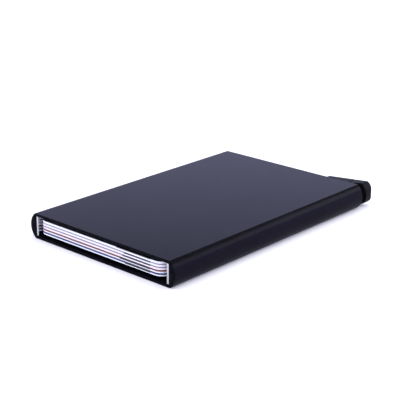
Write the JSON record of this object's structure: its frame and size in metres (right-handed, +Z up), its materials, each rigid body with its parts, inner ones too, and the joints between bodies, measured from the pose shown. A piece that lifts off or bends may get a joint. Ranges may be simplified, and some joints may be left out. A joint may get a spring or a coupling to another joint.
{
  "type": "card holder wallet",
  "caption": "Slim black aluminium card case with bowed sides; a corner lever fans the cards out of the open mouth.",
  "frame": {"origin": "middle of the sleeve's flat bottom face", "axes": "+X across the case, +Y from the open mouth towards the closed end with the lever, +Z up through its thickness"},
  "size_m": [0.0628, 0.0986, 0.0084],
  "materials": {
    "anodised_sleeve": "fine matt black anodising with a bluish sheen",
    "base_plastic": "black moulded, fine spark texture",
    "lever_plastic": "black moulded acetal, satin",
    "pin_steel": "ground steel pin",
    "spring_wire": "drawn spring wire",
    "grip_steel": "rolled stainless strip, satin",
    "chip_gold": "gold flash on copper contacts",
    "card_1_plastic": "laminated white card stock, satin overlay",
    "card_2_plastic": "laminated white card stock, satin overlay",
    "card_3_plastic": "laminated white card stock, satin overlay",
    "card_4_plastic": "laminated white card stock, satin overlay",
    "card_5_plastic": "laminated white card stock, satin overlay"
  },
  "bodies": {
    "case": {"sleeve": "anodised_sleeve", "base_lower": "base_plastic", "base_upper": "base_plastic", "pivot_pin": "pin_steel", "return_spring": "spring_wire", "grip_spring_left": "grip_steel", "grip_spring_right": "grip_steel"},
    "lever": {"ejector_lever": "lever_plastic"},
    "card_1_body": {"card_1": "card_1_plastic", "card_chip_1": "chip_gold"},
    "card_2_body": {"card_2": "card_2_plastic", "card_chip_2": "chip_gold"},
    "card_3_body": {"card_3": "card_3_plastic", "card_chip_3": "chip_gold"},
    "card_4_body": {"card_4": "card_4_plastic", "card_chip_4": "chip_gold"},
    "card_5_body": {"card_5": "card_5_plastic", "card_chip_5": "chip_gold"}
  },
  "joints": [
    {"name": "lever_swing", "type": "hinge", "parent": "case", "child": "lever", "pos_m": [0.0138, 0.0438, 0.004], "axis": [0, 0, 1], "range_deg": [0, 34], "stiffness_Nm_per_rad": 0.02, "deforming": ["return_spring"]},
    {"name": "card_1_slide", "type": "slide", "parent": "case", "child": "card_1_body", "axis": [0, -1, 0], "range_m": [0, 0.00771]},
    {"name": "card_2_slide", "type": "slide", "parent": "case", "child": "card_2_body", "axis": [0, -1, 0], "range_m": [0, 0.01068]},
    {"name": "card_3_slide", "type": "slide", "parent": "case", "child": "card_3_body", "axis": [0, -1, 0], "range_m": [0, 0.01365]},
    {"name": "card_4_slide", "type": "slide", "parent": "case", "child": "card_4_body", "axis": [0, -1, 0], "range_m": [0, 0.01662]},
    {"name": "card_5_slide", "type": "slide", "parent": "case", "child": "card_5_body", "axis": [0, -1, 0], "range_m": [0, 0.01958]}
  ],
  "couplings": [
    {"joint": "lever_swing", "follows": "card_5_slide", "rad_per_m": 30.303},
    {"joint": "card_1_slide", "follows": "card_5_slide", "ratio": 0.39394},
    {"joint": "card_2_slide", "follows": "card_5_slide", "ratio": 0.54546},
    {"joint": "card_3_slide", "follows": "card_5_slide", "ratio": 0.69697},
    {"joint": "card_4_slide", "follows": "card_5_slide", "ratio": 0.84849}
  ]
}
